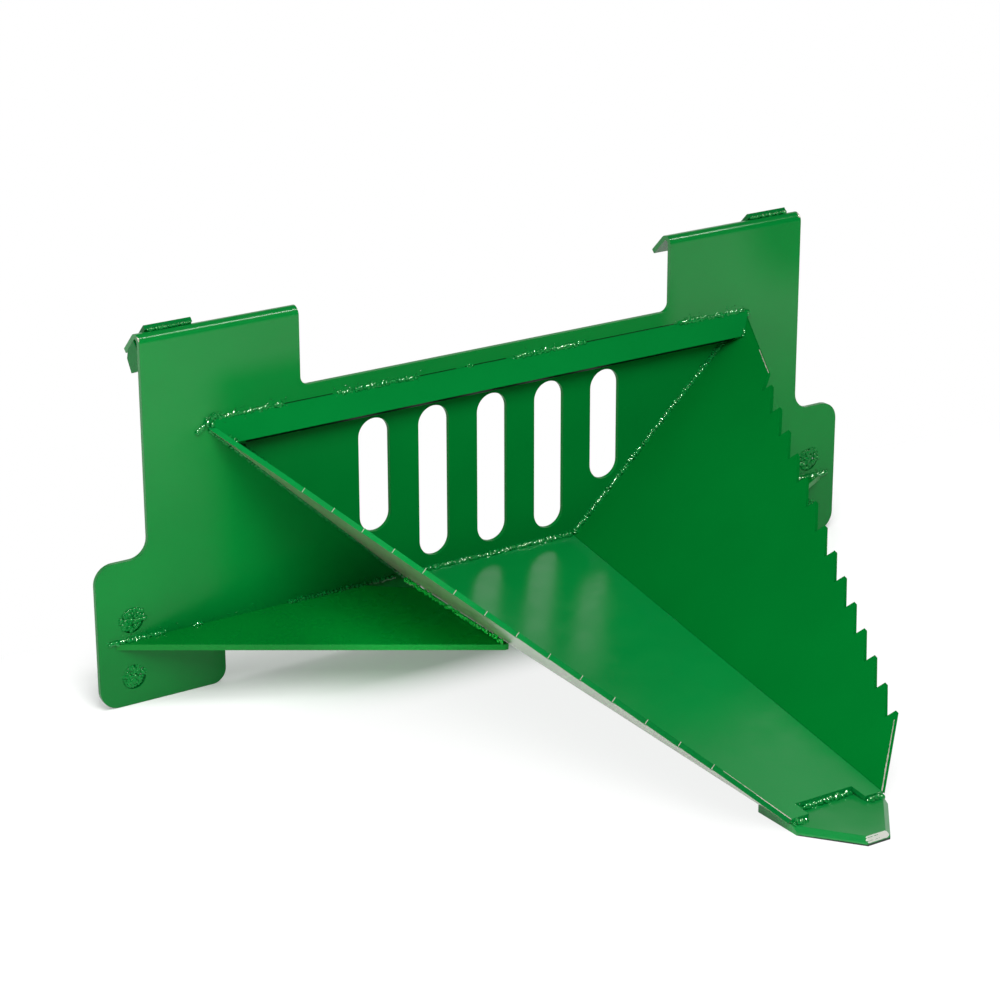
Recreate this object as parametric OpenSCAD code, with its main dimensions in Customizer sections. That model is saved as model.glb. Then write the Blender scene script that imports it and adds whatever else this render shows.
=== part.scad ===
// Stump bucket for a hook-and-pin front loader.
// X runs across the bucket, the cutting point looks towards -Y and the loader
// stands on the +Y side. The front face of the back plate is the plane Y = 0.
// The legs of the back plate and the underside of the point stand on Z = 0.

/* [Overall] */
// Width over the two ears
body_w = 1143; // [1000:1:1260]
// Distance from the back plate to the front end of the floor
floor_l = 720; // [640:1:800]
// Sheet thickness of the back plate, the bucket, the bar and the gussets
sheet_t = 6.35; // [5:0.05:8]

/* [Back plate] */
// Width over the outer edges of the two towers
tower_out_w = 996.6; // [940:1:1040]
// Clear width between the two towers
tower_gap_w = 561.4; // [500:1:620]
// Height where the bend of the hook lip begins
tower_h = 459; // [430:1:490]
// Height of the panel between the towers
mid_h = 368.5; // [358:0.5:400]
// Height of the ears
ear_h = 189.5; // [170:0.5:200]
// Height of the lower edge between the legs
mid_low_z = 60; // [50:1:70]
// Clear width between the legs
leg_gap_w = 796.6; // [740:1:840]
// Radius of the outer ear corners
ear_r = 25.4; // [15:0.2:32]
// Radius between tower and ear
ear_fillet_r = 24; // [12:0.5:32]
// Radius between a tower and the middle panel
mid_fillet_r = 12; // [6:0.5:20]
// Radius at the lower inner corner of a leg
leg_r = 19; // [10:0.5:30]

/* [Hook lips] */
// Outer bend radius of a lip
lip_r = 11; // [9.5:0.1:16]
// Turn of the bend from vertical, in degrees
lip_turn = 135; // [125:1:140]
// Straight length of the lip behind the bend
lip_l = 32; // [26:0.5:40]

/* [Slots] */
// Number of sight slots
slot_n = 5; // [3:2:5]
// Distance from slot to slot
slot_pitch = 88.5; // [80:0.1:92]
// Slot width
slot_w = 45.8; // [38:0.1:50]
// Height of the upper end of all slots
slot_top_z = 306.8; // [290:0.5:312]
// Height of the lower end of the middle slots
slot_low_z = 102.6; // [98:0.2:130]
// Height of the lower end of the two outer slots
slot_low_outer_z = 154.2; // [152:0.2:190]

/* [Bucket sheet] */
// Half width of the floor at the back plate
floor_rear_hw = 127.8; // [110:0.2:140]
// Half width of the floor at its front end
floor_front_hw = 65.6; // [58:0.1:72]
// Height of the floor surface at the back plate
floor_rear_z = 84.4; // [80:0.1:92]
// Half width at the upper end of a side, on the back plate
side_top_hw = 407.5; // [390:0.1:420]
// Height of the upper end of a side, on the back plate
side_top_z = 343.2; // [333:0.1:350]
// Half width of the notch in the front end of the floor
notch_hw = 41.1; // [34:0.1:46]
// Depth of the notch
notch_d = 25.2; // [18:0.1:32]

// Clearance under the front edge of the floor, closed by the welds
floor_gap = 0.1; // [0.05:0.05:0.5]
// Root gap between floor and side, closed by the seam weld
seam_gap = 0.2; // [0.1:0.05:0.5]

/* [Teeth] */
// Number of teeth along each side, after the short one at the top
tooth_n = 14; // [10:1:14]
// Distance from tip to tip
tooth_pitch = 47.05; // [44:0.05:47.5]
// Depth of a tooth, square to the tooth line
tooth_d = 15.4; // [8:0.1:18]
// Fall of the tooth line against the fold, in degrees
tooth_fall = 22.65; // [22:0.05:23.5]
// Place of the first full tip along the fold
tooth_s0 = 91.8; // [88:0.2:98]
// Place of the first full tip above the fold
tooth_h0 = 318.5; // [312:0.5:324]
// Place of the short top tooth along the fold
top_tip_s = 69; // [62:0.5:73]
// Place of the short top tooth above the fold
top_tip_h = 330.2; // [327:0.2:334]

/* [Cutting point] */
// Thickness of the point plate
point_t = 9.5; // [8:0.1:12.7]
// Half width of the point plate
point_hw = 66.3; // [60:0.1:74]
// How far the point plate reaches back under the floor
point_lap = 60; // [30:1:100]
// From the front end of the floor to where the taper begins
shoulder_run = 10.8; // [9:0.1:20]
// From the front end of the floor to the front edge of the nose
nose_run = 75.4; // [60:0.1:100]
// Half width of the nose
nose_hw = 16; // [10:0.2:24]
// Depth of the bevel on the top of the point
bevel = 6; // [3:0.1:8]

/* [Cross bar] */
// Height of the upper edge of the bar on the back plate
bar_top_z = 349.3; // [346:0.1:356]
// Width of the sloping bar
bar_w = 37; // [30:0.5:50]
// Slope of the bar, in degrees
bar_slope = 45; // [35:1:55]

/* [Gussets] */
// Thickness of a gusset
gusset_t = 7.94; // [6:0.02:10]
// Distance from the side edge of the ear to the gusset's outer corner
gusset_inset = 22.5; // [12:0.5:50]
// Inner rear corner of the clipped edge
gusset_clip_x = 200; // [170:1:230]
// Where the clip meets the bucket
gusset_clip_y = -45; // [-70:1:-30]
// Front end of the gusset
gusset_front_y = -222; // [-280:1:-180]
// Width of the blunt front end
gusset_blunt = 5; // [3:0.5:14]
// Step from the floor surface down to the gusset surface
gusset_drop = -0.6; // [-2:0.1:3]
// Clearance between gusset and bucket sheet, closed by the weld
gusset_gap = 0.45; // [0.3:0.05:1]

/* [Lip pads] */
// Thickness of the pad on the lip
pad_t = 6.35; // [5:0.05:12.7]
// Width of the pad
pad_w = 63.5; // [40:0.5:80]
// Length of the pad down the lip
pad_l = 38.1; // [24:0.1:44]
// Distance from the outer edge of the tower to the middle of the pad
pad_inset = 46.8; // [38:0.2:78]
// How far the pad stands up past the bend
pad_rise = 7.6; // [7:0.2:12]

/* [Hook gussets] */
// Thickness of the plate that closes the outer end of a hook
hook_t = 6.35; // [5:0.05:12.7]

/* [Pin lugs] */
// Thickness of a pin lug
lug_t = 12.7; // [9:0.1:19]
// Distance from the side edge of the ear to the middle of the lug
lug_inset = 46.5; // [32:0.5:60]
// Distance from the back plate to the pin bore
lug_pin_d = 40; // [34:0.5:50]
// Height of the pin bore
lug_pin_z = 73.7; // [60:0.1:90]
// Diameter of the pin bore
lug_bore_d = 28.6; // [20:0.1:32]
// Radius of the round end of the lug
lug_end_r = 30; // [26:0.5:36]
// Height of the lug on the back plate
lug_h = 112; // [104:1:118]

/* [Plug welds] */
// Diameter of the plug hole in the back plate
plug_d = 32; // [24:0.5:36]
// Distance between the two plugs of an ear
plug_pitch = 74.6; // [70:0.2:80]
// Height of the plug over the back plate
plug_rise = 1.4; // [0.5:0.1:2.5]
// Clearance round a plug
plug_gap = 0.3; // [0.2:0.05:0.5]

/* [Weld beads] */
// Leg of the bead along the bucket edge
bead = 7.5; // [5:0.1:9]
// Leg of the smaller beads
bead_s = 6; // [4:0.1:8]
// Leg of the bead outside the bucket, along the back plate
bead_out = 4.5; // [3:0.1:6]
// Height of the bead in the notch
notch_bead_h = 8.4; // [6:0.1:8.6]
// Height of the beads at the two prongs of the floor
prong_bead_h = 5.4; // [4:0.1:5.8]

/* [Hidden] */
$fn = 72;
// Clearance where one piece is laid on the face of another.
seat = 0.03;
big = 2000;
t = sheet_t;

ear_x = body_w / 2;
tow_x = tower_out_w / 2;
gap_x = tower_gap_w / 2;
leg_x = leg_gap_w / 2;
lug_x = ear_x - lug_inset;
gusset_out = ear_x - gusset_inset;
pad_x = tow_x - pad_inset;
point_rear_y = point_lap - floor_l;
shoulder_y = -floor_l - shoulder_run;
nose_y = -floor_l - nose_run;

// The floor rests with its lower front edge on the point plate.
floor_fall = floor_rear_z - point_t - floor_gap;
floor_ang = atan((floor_fall - t * cos(atan((floor_fall - t) / floor_l))) / floor_l);
floor_front_z = floor_rear_z - floor_l * tan(floor_ang);
floor_loc_l = floor_l / cos(floor_ang);

function unit(v) = v / norm(v);
// Corner points of the right-hand side and the axes of its inner face.
pt_a = [floor_rear_hw, 0, floor_rear_z];
pt_b = [floor_front_hw, -floor_l, floor_front_z];
pt_s = [side_top_hw, 0, side_top_z];
ax_1 = unit(pt_b - pt_a);
ax_3 = unit(cross(pt_s - pt_a, ax_1));
ax_2 = cross(ax_1, ax_3);
fold_l = norm(pt_b - pt_a);
// Upper end of the side in the axes of its face.
top_s = (pt_s - pt_a) * ax_1;
top_h = (pt_s - pt_a) * ax_2;
// Downward normal of the floor and the angle of the fold.
floor_n = [0, sin(floor_ang), -cos(floor_ang)];
fold_ang = acos(floor_n * ax_3);

// Points of the side as [distance above the fold, distance along the fold].
tooth_u = [-sin(tooth_fall), cos(tooth_fall)];
tooth_v = [cos(tooth_fall), sin(tooth_fall)];
function tip(k) = [tooth_h0, tooth_s0] + k * tooth_pitch * tooth_u;
function root(k) = tip(k) - tooth_d * tooth_v;

lip_end_y = lip_r * (1 - cos(lip_turn));
lip_end_z = tower_h + lip_r * sin(lip_turn);

slot_top = slot_top_z - slot_w / 2;

// Places a solid drawn in the axes of the side's inner face:
// x up the side, y forward along the fold, z outwards.
module side_frame() {
  multmatrix([[ax_2[0], ax_1[0], ax_3[0], pt_a[0]],
              [ax_2[1], ax_1[1], ax_3[1], pt_a[1]],
              [ax_2[2], ax_1[2], ax_3[2], pt_a[2]],
              [0, 0, 0, 1]]) children();
}

// Places a solid drawn in the plane of the floor surface.
module floor_frame() {
  translate([0, 0, floor_rear_z]) rotate([floor_ang, 0, 0]) children();
}

// Keeps what stands in front of the back plate.
module before_plate() {
  difference() {
    children();
    translate([-big / 2, 0, -big / 2]) cube([big, 200, big]);
  }
}

module plate_box(x0, x1, z0, z1) {
  translate([x0, 0, z0]) cube([x1 - x0, t, z1 - z0]);
}

// Corner filler: a square of side r less a cylinder; dx and dz point
// from the corner towards the middle of the cylinder.
module corner(x, z, r, dx, dz, over = 0) {
  difference() {
    translate([min(x, x + dx * r) - (dx > 0 ? over : 0), -over,
               min(z, z + dz * r) - (dz > 0 ? over : 0)])
      cube([r + over, t + 2 * over, r + over]);
    translate([x + dx * r, t + 5, z + dz * r]) rotate([90, 0, 0])
      cylinder(r = r, h = t + 10);
  }
}

module slot(x, z0, z1) {
  translate([x - slot_w / 2, -1, z0 + slot_w / 2]) cube([slot_w, t + 2, z1 - z0 - slot_w]);
  translate([x, t + 1, z0 + slot_w / 2]) rotate([90, 0, 0]) cylinder(d = slot_w, h = t + 2);
  translate([x, t + 1, z1 - slot_w / 2]) rotate([90, 0, 0]) cylinder(d = slot_w, h = t + 2);
}

// One half of the back plate: tower with its bent lip, ear and leg.
module plate_half() {
  difference() {
    union() {
      plate_box(0, gap_x + 1, mid_low_z, mid_h);
      plate_box(gap_x, tow_x, mid_low_z, mid_h + 1);
      plate_box(leg_x, ear_x, 0, ear_h);
      corner(tow_x, ear_h, ear_fillet_r, 1, 1);
      corner(gap_x, mid_h, mid_fillet_r, -1, 1);
      corner(leg_x, mid_low_z, leg_r, -1, -1);
      lip();
    }
    corner(ear_x, ear_h, ear_r, -1, -1, 1);
    corner(ear_x, 0, ear_r, -1, 1, 1);
    corner(leg_x, 0, leg_r, 1, 1, 1);
    for (s = [-1, 1])
      translate([lug_x, t + 1, lug_pin_z + s * plug_pitch / 2]) rotate([90, 0, 0])
        cylinder(d = plug_d, h = t + 2);
  }
}

// Point of the lip's profile: x along the straight leg, y out of its outer face.
lip_dir = 90 - lip_turn;
function lip_at(x, y) = [lip_end_y + x * cos(lip_dir) - y * sin(lip_dir),
                         lip_end_z + x * sin(lip_dir) + y * cos(lip_dir)];

// The hook lip: a bend rearwards and a straight leg that falls to the rear.
module lip() {
  along_x(gap_x, tow_x) difference() {
    union() {
      translate([0, mid_h]) square([lip_r, tower_h - mid_h]);
      translate([lip_r, tower_h]) circle(r = lip_r);
      polygon([lip_at(0, 0), lip_at(lip_l, 0), lip_at(lip_l, -lip_r), lip_at(0, -lip_r)]);
    }
    translate([lip_r, tower_h]) circle(r = lip_r - t);
    polygon([[t, mid_h - 1], [t, tower_h], [lip_r, tower_h], lip_at(0, -t), lip_at(lip_l + 5, -t),
             [80, mid_h - 1]]);
  }
}

module back_plate() {
  color([0.02, 0.42, 0.17]) difference() {
    union() {
      plate_half();
      mirror([1, 0, 0]) plate_half();
    }
    for (k = [0 : slot_n - 1])
      slot((k - (slot_n - 1) / 2) * slot_pitch,
           (k == 0 || k == slot_n - 1) ? slot_low_outer_z : slot_low_z, slot_top_z);
  }
}

// Side of the bucket with its saw teeth.
module side() {
  drop = (top_h - top_tip_h) / (top_tip_s - top_s);
  teeth = [for (k = [0 : tooth_n - 1]) each [root(k), tip(k)]];
  before_plate() side_frame() linear_extrude(height = t)
    polygon(concat([[0, -8], [top_h + 8 * drop, top_s - 8], [top_tip_h, top_tip_s]], teeth,
                   [[0, fold_l]]));
}

module side_right() {
  color([0.02, 0.45, 0.18]) side();
}

module side_left() {
  color([0.02, 0.45, 0.18]) mirror([1, 0, 0]) side();
}

// Taper of the floor: half width lost for each millimetre forwards.
run = (floor_rear_hw - floor_front_hw) / floor_loc_l;

module floor_plate() {
  rear = floor_rear_hw - seam_gap;
  front = floor_front_hw - seam_gap;
  color([0.03, 0.46, 0.2]) before_plate()
    floor_frame() translate([0, 0, -t]) linear_extrude(height = t)
      polygon([[rear + 8 * run, 8], [front, -floor_loc_l],
               [notch_hw, -floor_loc_l], [notch_hw, -floor_loc_l + notch_d],
               [-notch_hw, -floor_loc_l + notch_d], [-notch_hw, -floor_loc_l],
               [-front, -floor_loc_l], [-rear - 8 * run, 8]]);
}

// Places a profile drawn square to the lower corner of the bucket:
// x outwards in the plane of the floor, y up, z forward along the corner.
ax_g = unit(cross(floor_n, ax_1) * -1);
module corner_frame() {
  multmatrix([[ax_g[0], -floor_n[0], ax_1[0], pt_a[0]],
              [ax_g[1], -floor_n[1], ax_1[1], pt_a[1]],
              [ax_g[2], -floor_n[2], ax_1[2], pt_a[2]],
              [0, 0, 0, 1]]) children();
}

// Weld that fills the groove between the edges of floor and side from outside.
module seam_weld() {
  a = fold_ang;
  r = t * 0.98;
  cf = seam_gap * cos(atan(run)) - seat;
  before_plate() corner_frame() translate([0, 0, -8]) linear_extrude(height = fold_l + 7)
    polygon([[0, -seam_gap], [r * sin(a), -r * cos(a)],
             [r * 1.06 * sin(a * 0.66), -r * 1.06 * cos(a * 0.66)],
             [r * 1.04 * sin(a * 0.3), -r * 1.04 * cos(a * 0.3)],
             [-cf, -r], [-cf, -seam_gap]]);
}

module seam_weld_right() {
  color([0.03, 0.5, 0.22]) seam_weld();
}

module seam_weld_left() {
  color([0.03, 0.5, 0.22]) mirror([1, 0, 0]) seam_weld();
}

// The cutting point, bevelled on its three front edges.
module point_plate() {
  land = point_t - bevel;
  flank_ang = atan2(shoulder_y - nose_y, point_hw - nose_hw);
  color([0.03, 0.48, 0.2]) difference() {
    linear_extrude(height = point_t)
      polygon([[-point_hw, point_rear_y], [point_hw, point_rear_y], [point_hw, shoulder_y],
               [nose_hw, nose_y], [-nose_hw, nose_y], [-point_hw, shoulder_y]]);
    translate([0, nose_y, land]) rotate([45, 0, 0]) translate([-point_hw, -20, 0]) cube([2 * point_hw, 50, 30]);
    for (m = [0, 1]) mirror([m, 0, 0])
      translate([nose_hw, nose_y, land + 0.3]) rotate([0, 0, flank_ang]) rotate([45, 0, 0])
        translate([-point_hw, -20, 0]) cube([3.5 * point_hw, 50, 30]);
  }
}

module beyond_sides() {
  for (m = [0, 1]) mirror([m, 0, 0])
    side_frame() translate([-big / 4, -big / 4, 0]) cube([big, big, big / 5]);
}

// Profile of the bar: upper face from the plate forwards and down, cut flush at the plate.
function bar_profile() = let (c = cos(bar_slope), s = sin(bar_slope))
  [[0, bar_top_z], [-bar_w * c, bar_top_z - bar_w * s],
   [-bar_w * c + t * s, bar_top_z - bar_w * s - t * c], [0, bar_top_z - t / c]];

module along_x(x0, x1) {
  translate([x0, 0, 0]) rotate([90, 0, 90]) linear_extrude(height = x1 - x0) children();
}

module cross_bar() {
  color([0.02, 0.42, 0.17]) difference() {
    along_x(-tow_x, tow_x) polygon(bar_profile());
    beyond_sides();
  }
}

// Outline of the right-hand gusset in the plane of the floor.
function shell_x(y) = floor_rear_hw + run * y;
gusset_edge = (t - gusset_drop * cos(fold_ang)) / ax_3[0] + gusset_gap;

module gusset() {
  before_plate() floor_frame() translate([0, 0, -gusset_drop - gusset_t])
    linear_extrude(height = gusset_t) polygon([[gusset_out, 3], [gusset_out, 0],
             [shell_x(gusset_front_y) + gusset_edge + gusset_blunt, gusset_front_y],
             [shell_x(gusset_front_y) + gusset_edge, gusset_front_y],
             [shell_x(gusset_clip_y) + gusset_edge, gusset_clip_y],
             [gusset_clip_x, 0], [gusset_clip_x, 3]]);
}

module gusset_right() {
  color([0.02, 0.4, 0.16]) gusset();
}

module gusset_left() {
  color([0.02, 0.4, 0.16]) mirror([1, 0, 0]) gusset();
}

// Pad on the outside of the lip, standing up past the bend.
module lip_pad() {
  translate([pad_x - pad_w / 2, lip_end_y, lip_end_z]) rotate([90 - lip_turn, 0, 0])
    translate([0, -pad_rise, seat]) cube([pad_w, pad_l, pad_t]);
}

module lip_pad_right() {
  color([0.02, 0.42, 0.17]) lip_pad();
}

module lip_pad_left() {
  color([0.02, 0.42, 0.17]) mirror([1, 0, 0]) lip_pad();
}

// Plate that closes the outer end of a hook, under the lip.
module hook_gusset() {
  in_c = lip_end_y + lip_end_z - t * sqrt(2);
  along_x(tow_x - hook_t, tow_x)
    polygon([[t, tower_h - 34], [24, tower_h - 41.5], [34.2, tower_h - 25.5], [31, in_c - 31],
             [lip_r + 4.6, in_c - lip_r - 4.6], [t, tower_h - 7]]);
}

module hook_gusset_right() {
  color([0.02, 0.42, 0.17]) hook_gusset();
}

module hook_gusset_left() {
  color([0.02, 0.42, 0.17]) mirror([1, 0, 0]) hook_gusset();
}

// Lug behind the ear with the bore for the locking pin.
module pin_lug() {
  pin_y = t + lug_pin_d;
  difference() {
    union() {
      along_x(lug_x - lug_t / 2, lug_x + lug_t / 2)
        polygon([[t, lug_pin_z - lug_h / 2], [t + 12, lug_pin_z - lug_h / 2],
                 [pin_y, lug_pin_z - lug_end_r], [pin_y, lug_pin_z + lug_end_r],
                 [t + 12, lug_pin_z + lug_h / 2], [t, lug_pin_z + lug_h / 2]]);
      translate([lug_x - lug_t / 2, pin_y, lug_pin_z]) rotate([0, 90, 0])
        cylinder(r = lug_end_r, h = lug_t);
    }
    translate([lug_x - lug_t / 2 - 1, pin_y, lug_pin_z]) rotate([0, 90, 0])
      cylinder(d = lug_bore_d, h = lug_t + 2);
  }
}

module pin_lug_right() {
  color([0.02, 0.42, 0.17]) pin_lug();
}

module pin_lug_left() {
  color([0.02, 0.42, 0.17]) mirror([1, 0, 0]) pin_lug();
}

// Two plug welds through the ear onto the edge of the lug.
module plug_welds() {
  for (s = [-1, 1])
    translate([lug_x, t, lug_pin_z + s * plug_pitch / 2]) rotate([90, 0, 0]) {
      cylinder(d = plug_d - 2 * plug_gap, h = t + 0.2);
      translate([0, 0, t + 0.2])
        cylinder(d1 = plug_d - 2 * plug_gap, d2 = plug_d - 8, h = plug_rise);
    }
}

module plug_welds_right() {
  color([0.03, 0.5, 0.22]) plug_welds();
}

module plug_welds_left() {
  color([0.03, 0.5, 0.22]) mirror([1, 0, 0]) plug_welds();
}

// Bead in the corner between the back plate and a side, in the axes of the side.
vee_d = unit(pt_s - pt_a);
vee_w = cross(vee_d, [0, 1, 0]);
vee_g = unit(ax_1 - (ax_1 * vee_d) * vee_d);

module vee_bead() {
  gx = bead * (vee_g * vee_w);
  gy = bead * (vee_g * [0, -1, 0]);
  multmatrix([[vee_w[0], 0, vee_d[0], pt_a[0]],
              [vee_w[1], -1, vee_d[1], pt_a[1]],
              [vee_w[2], 0, vee_d[2], pt_a[2]],
              [0, 0, 0, 1]])
    translate([0, 0, -12]) linear_extrude(height = vee_l + 12)
      polygon([[-4, 0], [bead, 0], [bead * 0.66, bead * 0.62], [gx, gy], [gx - 4, gy]]);
}

// Bead in the corner outside, between the side's outer face and the back plate.
module vee_out_bead() {
  o = t / abs(ax_3 * vee_w) + 0.05;
  gx = bead_out * (vee_g * vee_w);
  gy = bead_out * (vee_g * [0, -1, 0]);
  multmatrix([[vee_w[0], 0, vee_d[0], pt_a[0]],
              [vee_w[1], -1, vee_d[1], pt_a[1]],
              [vee_w[2], 0, vee_d[2], pt_a[2]],
              [0, 0, 0, 1]])
    translate([0, 0, 5]) linear_extrude(height = norm(pt_s - pt_a) - 8)
      polygon([[-o, 0], [-o + gx, gy], [-o - bead_out * 0.62, bead_out * 0.62],
               [-o - bead_out, 0]]);
}

module vee_weld_right() {
  color([0.03, 0.5, 0.22]) vee_out_bead();
}

module vee_weld_left() {
  color([0.03, 0.5, 0.22]) mirror([1, 0, 0]) vee_out_bead();
}

// The bead ends under the bar.
vee_l = norm(pt_s - pt_a) - 46;

module shell_weld() {
  color([0.03, 0.5, 0.22]) before_plate() difference() {
    union() {
      for (m = [0, 1]) mirror([m, 0, 0]) vee_bead();
      floor_frame() along_x(-floor_rear_hw, floor_rear_hw)
        polygon([[2, -3], [-bead, -3], [-bead, 0], [-bead * 0.62, bead * 0.66], [0, bead], [2, bead]]);
    }
    beyond_sides();
    floor_frame() translate([-big / 4, -big / 4, -big / 10]) cube([big / 2, big / 2, big / 10]);
  }
}

// Short beads along the upper edge of the bar.
module bar_welds() {
  runs = [[-0.813, -0.618], [-0.458, -0.229], [-0.074, -0.058], [0.072, 0.288], [0.599, 0.811]];
  c = cos(bar_slope);
  s = sin(bar_slope);
  color([0.03, 0.5, 0.22]) for (r = runs)
    along_x(r[0] * tow_x, r[1] * tow_x)
      polygon([[0, bar_top_z + seat], [0, bar_top_z + bead_s], [-bead_s * 0.62, bar_top_z + bead_s * 0.38],
               [-bead_s * c, bar_top_z - bead_s * s + seat]]);
}

// Beads on the gusset: along the back plate and along the bucket.
module gusset_weld() {
  a = fold_ang;
  face = (t - gusset_drop * cos(a)) / sin(a);
  z0 = -gusset_clip_y / cos(atan(run));
  z1 = -gusset_front_y / cos(atan(run));
  color([0.03, 0.5, 0.22]) {
    difference() {
      floor_frame() translate([0, 0, -gusset_drop]) along_x(gusset_clip_x + 4, gusset_out - 1)
        polygon([[2, 0], [-bead_s, 0], [-bead_s * 0.62, bead_s * 0.62], [0, bead_s], [2, bead_s]]);
      translate([-big / 2, 0, -big / 2]) cube([big, 200, big]);
    }
    corner_frame() translate([face, -gusset_drop, z0]) linear_extrude(height = z1 - z0)
      polygon([[0.02, 0], [bead * 1.3, 0], [bead * 1.3 * cos(a / 2), bead * 1.3 * sin(a / 2)],
               [bead * 1.2 * cos(a) + 0.02, bead * 1.2 * sin(a)]]);
  }
}

module gusset_weld_right() {
  gusset_weld();
}

module gusset_weld_left() {
  mirror([1, 0, 0]) gusset_weld();
}

// Bead on the point plate along the rear edge of the notch.
notch_y = -(floor_loc_l - notch_d) * cos(floor_ang);

module notch_weld() {
  color([0.03, 0.5, 0.22]) along_x(-notch_hw + 0.2, notch_hw - 0.2)
    polygon([[notch_y - 0.1, point_t], [notch_y - bead_s, point_t],
             [notch_y - bead_s * 0.7, point_t + notch_bead_h * 0.66],
             [notch_y - 0.1, point_t + notch_bead_h]]);
}

module prong_weld() {
  along_x(notch_hw - 1, floor_front_hw - 0.5)
    polygon([[-floor_l - 0.1, point_t], [-floor_l - bead, point_t],
             [-floor_l - bead * 0.65, point_t + prong_bead_h * 0.72],
             [-floor_l - 0.1, point_t + prong_bead_h]]);
}

module prong_weld_right() {
  color([0.03, 0.5, 0.22]) prong_weld();
}

module prong_weld_left() {
  color([0.03, 0.5, 0.22]) mirror([1, 0, 0]) prong_weld();
}

// Bead under the raised front end of a pad, over the bend.
module pad_weld() {
  fy = lip_end_y - pad_rise / sqrt(2);
  fz = lip_end_z + pad_rise / sqrt(2);
  top = tower_h + lip_r + 0.35;
  along_x(pad_x - pad_w / 2, pad_x + pad_w / 2)
    polygon([[fy, fz], [fy + 2.2, fz + 2.2], [fy - 1.6, fz + 1.6], [fy - 4.6, top + 2], [fy - 4, top],
             [fy, top]]);
}

module pad_weld_right() {
  color([0.03, 0.5, 0.22]) pad_weld();
}

module pad_weld_left() {
  color([0.03, 0.5, 0.22]) mirror([1, 0, 0]) pad_weld();
}

// Beads on both faces of the lug along the back plate.
module lug_weld() {
  for (m = [-1, 1])
    translate([lug_x + m * lug_t / 2, t, lug_pin_z - lug_h / 2 + 4])
      linear_extrude(height = lug_h - 8)
        polygon([[0, 0], [m * bead_s, 0], [m * bead_s * 0.6, bead_s * 0.6], [0, bead_s]]);
}

module lug_weld_right() {
  color([0.03, 0.5, 0.22]) lug_weld();
}

module lug_weld_left() {
  color([0.03, 0.5, 0.22]) mirror([1, 0, 0]) lug_weld();
}

back_plate();
floor_plate();
side_left();
side_right();
point_plate();
cross_bar();
gusset_left();
gusset_right();
lip_pad_left();
lip_pad_right();
hook_gusset_left();
hook_gusset_right();
pin_lug_left();
pin_lug_right();
plug_welds_left();
plug_welds_right();
shell_weld();
seam_weld_left();
seam_weld_right();
bar_welds();
vee_weld_left();
vee_weld_right();
gusset_weld_left();
gusset_weld_right();
notch_weld();
prong_weld_left();
prong_weld_right();
pad_weld_left();
pad_weld_right();
lug_weld_left();
lug_weld_right();
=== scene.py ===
# Stump bucket for a front loader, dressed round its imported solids.
# Metres, Z up; the cutting point looks towards -Y and the loader stands on the +Y side.
import math
import random

import bpy
from mathutils import Matrix, Vector


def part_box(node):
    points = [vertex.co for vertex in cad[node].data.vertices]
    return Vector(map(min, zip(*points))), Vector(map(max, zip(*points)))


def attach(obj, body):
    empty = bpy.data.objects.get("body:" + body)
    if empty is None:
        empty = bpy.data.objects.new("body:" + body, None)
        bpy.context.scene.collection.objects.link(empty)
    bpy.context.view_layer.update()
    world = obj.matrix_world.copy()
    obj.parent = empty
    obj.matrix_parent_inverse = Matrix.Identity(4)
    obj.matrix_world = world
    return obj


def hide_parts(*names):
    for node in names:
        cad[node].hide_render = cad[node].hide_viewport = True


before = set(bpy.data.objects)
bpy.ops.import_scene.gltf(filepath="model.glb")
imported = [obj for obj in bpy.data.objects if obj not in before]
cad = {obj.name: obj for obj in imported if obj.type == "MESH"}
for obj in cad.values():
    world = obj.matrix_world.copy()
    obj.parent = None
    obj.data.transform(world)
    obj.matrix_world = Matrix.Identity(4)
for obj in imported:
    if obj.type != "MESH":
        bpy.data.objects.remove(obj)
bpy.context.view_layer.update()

# Studio: a white paper floor that runs out of sight, a bright backdrop and the camera.
# The camera stands at the front left and looks down on the bucket with a long lens.
# The floor and the sky are white to the eye, and the floor keeps the bucket's shadow.
eye = Vector((-2.04227, -3.15770, 1.57659))
look = Vector((0.51032, 0.78439, -0.35258))
right = Vector((0.83778, -0.54600, -0.00209))
up = Vector((0.19415, 0.29432, 0.93578))
camera_data = bpy.data.cameras.new("camera")
camera_data.sensor_width = 36.0
camera_data.lens = 111.01
camera_data.clip_end = 60.0
camera = bpy.data.objects.new("camera", camera_data)
bpy.context.scene.collection.objects.link(camera)
camera.matrix_world = Matrix((
    (right.x, up.x, -look.x, eye.x),
    (right.y, up.y, -look.y, eye.y),
    (right.z, up.z, -look.z, eye.z),
    (0.0, 0.0, 0.0, 1.0)))
bpy.context.scene.camera = camera
bpy.context.scene.view_settings.view_transform = "Standard"


def worked_node(tree, kind, operation, given):
    """A node of one kind that works on sockets and plain values."""
    node = tree.nodes.new(kind)
    node.operation = operation
    for place, value in enumerate(given):
        if isinstance(value, bpy.types.NodeSocket):
            tree.links.new(value, node.inputs[place])
        else:
            node.inputs[place].default_value = value
    return node


def worked(tree, operation, *given):
    """A number worked out of sockets and plain numbers."""
    return worked_node(tree, "ShaderNodeMath", operation, given).outputs[0]


def worked_vector(tree, operation, *given):
    """The same for places and directions. A distance or a dot product gives a number."""
    node = worked_node(tree, "ShaderNodeVectorMath", operation, given)
    gives_number = operation in ("DISTANCE", "DOT_PRODUCT")
    return node.outputs["Value" if gives_number else "Vector"]


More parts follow.
